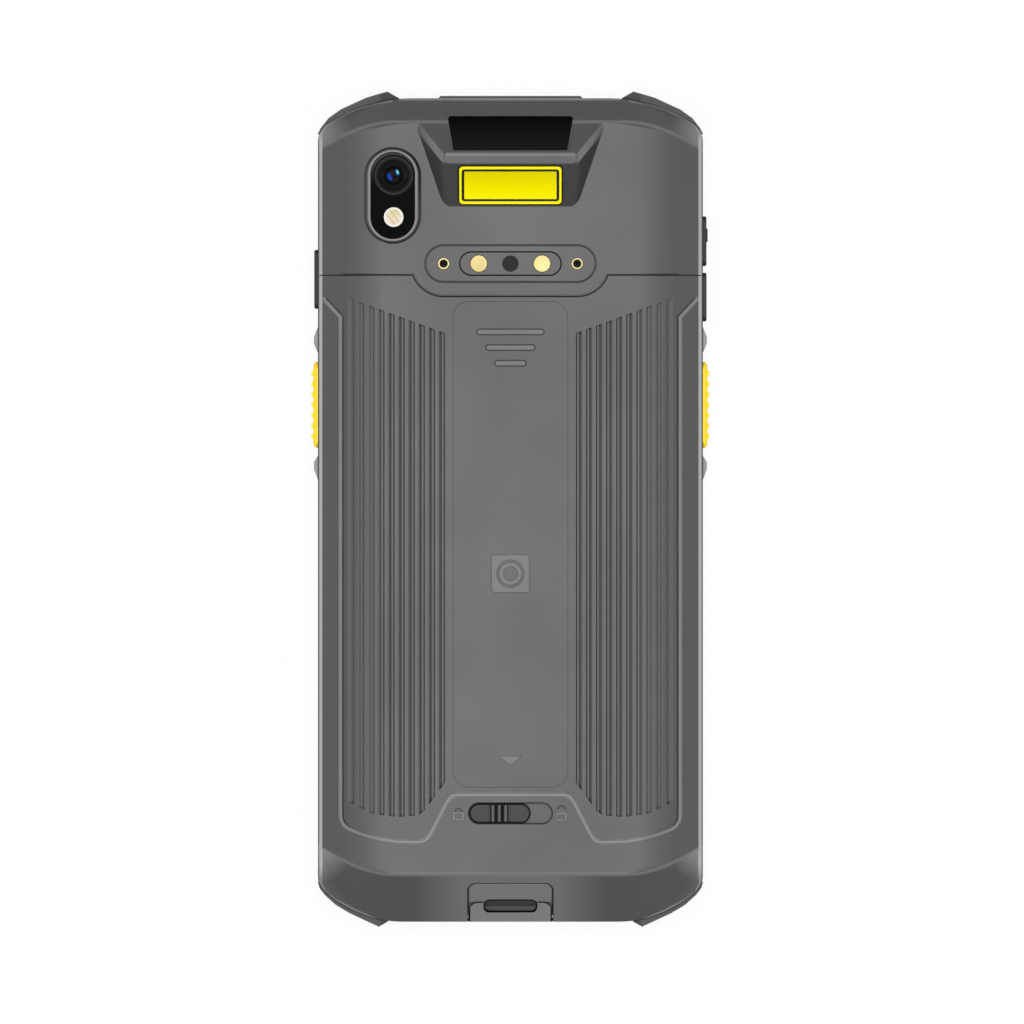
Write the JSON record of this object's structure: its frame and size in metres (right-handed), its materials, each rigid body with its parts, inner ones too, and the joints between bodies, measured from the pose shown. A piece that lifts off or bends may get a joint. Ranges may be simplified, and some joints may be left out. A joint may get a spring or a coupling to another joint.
{
  "type": "portable barcode data terminal",
  "caption": "Rugged handheld barcode terminal with a rear scanner hump, camera, charging contacts, side keys and triggers, and a latched battery cover.",
  "frame": {"origin": "centre of the footprint, on the plane of the raised front rim that the terminal lies on", "axes": "+Z out of the back cover, +Y towards the scanner end, +X to the right as seen from behind"},
  "size_m": [0.0776, 0.1627, 0.0229],
  "materials": {
    "frame_plastic": "fine texture",
    "shell_plastic": "fine texture",
    "bumper_rubber": "matte",
    "black_rubber": "matte",
    "black_plastic": "satin",
    "yellow_plastic": "satin",
    "label_yellow": "gloss",
    "cover_glass": "polished",
    "lens_glass": "polished",
    "flash_plastic": "polished",
    "black_metal": "satin",
    "steel": "plain",
    "gold_contact": "polished",
    "brass": "turned",
    "magnesium": "cast",
    "board_green": "solder mask",
    "flex_amber": "film",
    "battery_wrap": "wrap",
    "panel_dark": "polished",
    "ferrite": "film"
  },
  "bodies": {
    "root": {"battery_bay": "frame_plastic", "battery_contacts": "gold_contact", "battery_pack": "battery_wrap", "battery_seal": "black_rubber", "board_flex": "flex_amber", "camera_bezel": "black_metal", "camera_lens": "lens_glass", "camera_lens_ring": "black_plastic", "camera_module": "black_plastic", "camera_window": "cover_glass", "carrier_plug": "black_rubber", "charging_contacts": "gold_contact", "chassis_plate": "magnesium", "contact_carrier": "black_plastic", "corner_bumper_bottom_left": "bumper_rubber", "corner_bumper_bottom_right": "bumper_rubber", "corner_bumper_top_left": "bumper_rubber", "corner_bumper_top_right": "bumper_rubber", "display_panel": "panel_dark", "earpiece": "black_plastic", "earpiece_mesh": "steel", "flash_diffuser": "flash_plastic", "front_camera": "black_plastic", "front_frame": "frame_plastic", "glass_seal": "black_rubber", "housing_screws": "steel", "key_switches": "steel", "label_plate": "label_yellow", "latch_keeper": "steel", "loudspeaker": "black_plastic", "main_board": "board_green", "rear_housing": "shell_plastic", "scan_engine": "black_plastic", "scan_lenses": "lens_glass", "scan_window": "cover_glass", "scan_window_gasket": "black_rubber", "shield_cans": "steel", "side_key_boards": "board_green", "sim_card_holder": "steel", "status_led": "flash_plastic", "sub_board": "board_green", "threaded_inserts": "brass", "top_trim_bar": "black_rubber", "touch_glass": "cover_glass", "trigger_bezel_left": "bumper_rubber", "trigger_bezel_right": "bumper_rubber", "usb_c_receptacle": "steel", "usb_flap_pin": "steel", "usb_surround": "shell_plastic", "vibration_motor": "steel"},
    "battery_cover": {"battery_cover": "shell_plastic", "nfc_antenna": "ferrite"},
    "latch": {"latch_slider": "black_plastic", "latch_bolt": "steel"},
    "left_trigger": {"scan_trigger_left": "yellow_plastic"},
    "right_trigger": {"scan_trigger_right": "yellow_plastic"},
    "function_key": {"function_key": "black_plastic"},
    "power_key": {"power_key": "black_plastic"},
    "volume_key": {"volume_key": "black_plastic"},
    "usb_flap": {"usb_flap": "shell_plastic"}
  },
  "joints": [
    {"name": "battery_cover_hinge", "type": "hinge", "parent": "root", "child": "battery_cover", "pos_m": [0, 0.04567, 0.0165], "axis": [-1, 0, 0], "range_deg": [0, 35]},
    {"name": "latch_slide", "type": "slide", "parent": "battery_cover", "child": "latch", "axis": [1, 0, 0], "range_m": [0, 0.0041]},
    {"name": "left_trigger_press", "type": "slide", "parent": "root", "child": "left_trigger", "axis": [1, 0, 0], "range_m": [0, 0.0008], "stiffness_N_per_m": 3000},
    {"name": "right_trigger_press", "type": "slide", "parent": "root", "child": "right_trigger", "axis": [-1, 0, 0], "range_m": [0, 0.0008], "stiffness_N_per_m": 3000},
    {"name": "function_key_press", "type": "slide", "parent": "root", "child": "function_key", "axis": [1, 0, 0], "range_m": [0, 0.0005], "stiffness_N_per_m": 3000},
    {"name": "power_key_press", "type": "slide", "parent": "root", "child": "power_key", "axis": [-1, 0, 0], "range_m": [0, 0.0005], "stiffness_N_per_m": 3000},
    {"name": "volume_key_rock", "type": "hinge", "parent": "root", "child": "volume_key", "pos_m": [0.037, 0.04135, 0.0059], "axis": [0, 0, 1], "range_deg": [-3, 3], "stiffness_Nm_per_rad": 0.02},
    {"name": "usb_flap_hinge", "type": "hinge", "parent": "root", "child": "usb_flap", "pos_m": [0, -0.0793, 0.0029], "axis": [1, 0, 0], "range_deg": [0, 95]}
  ]
}
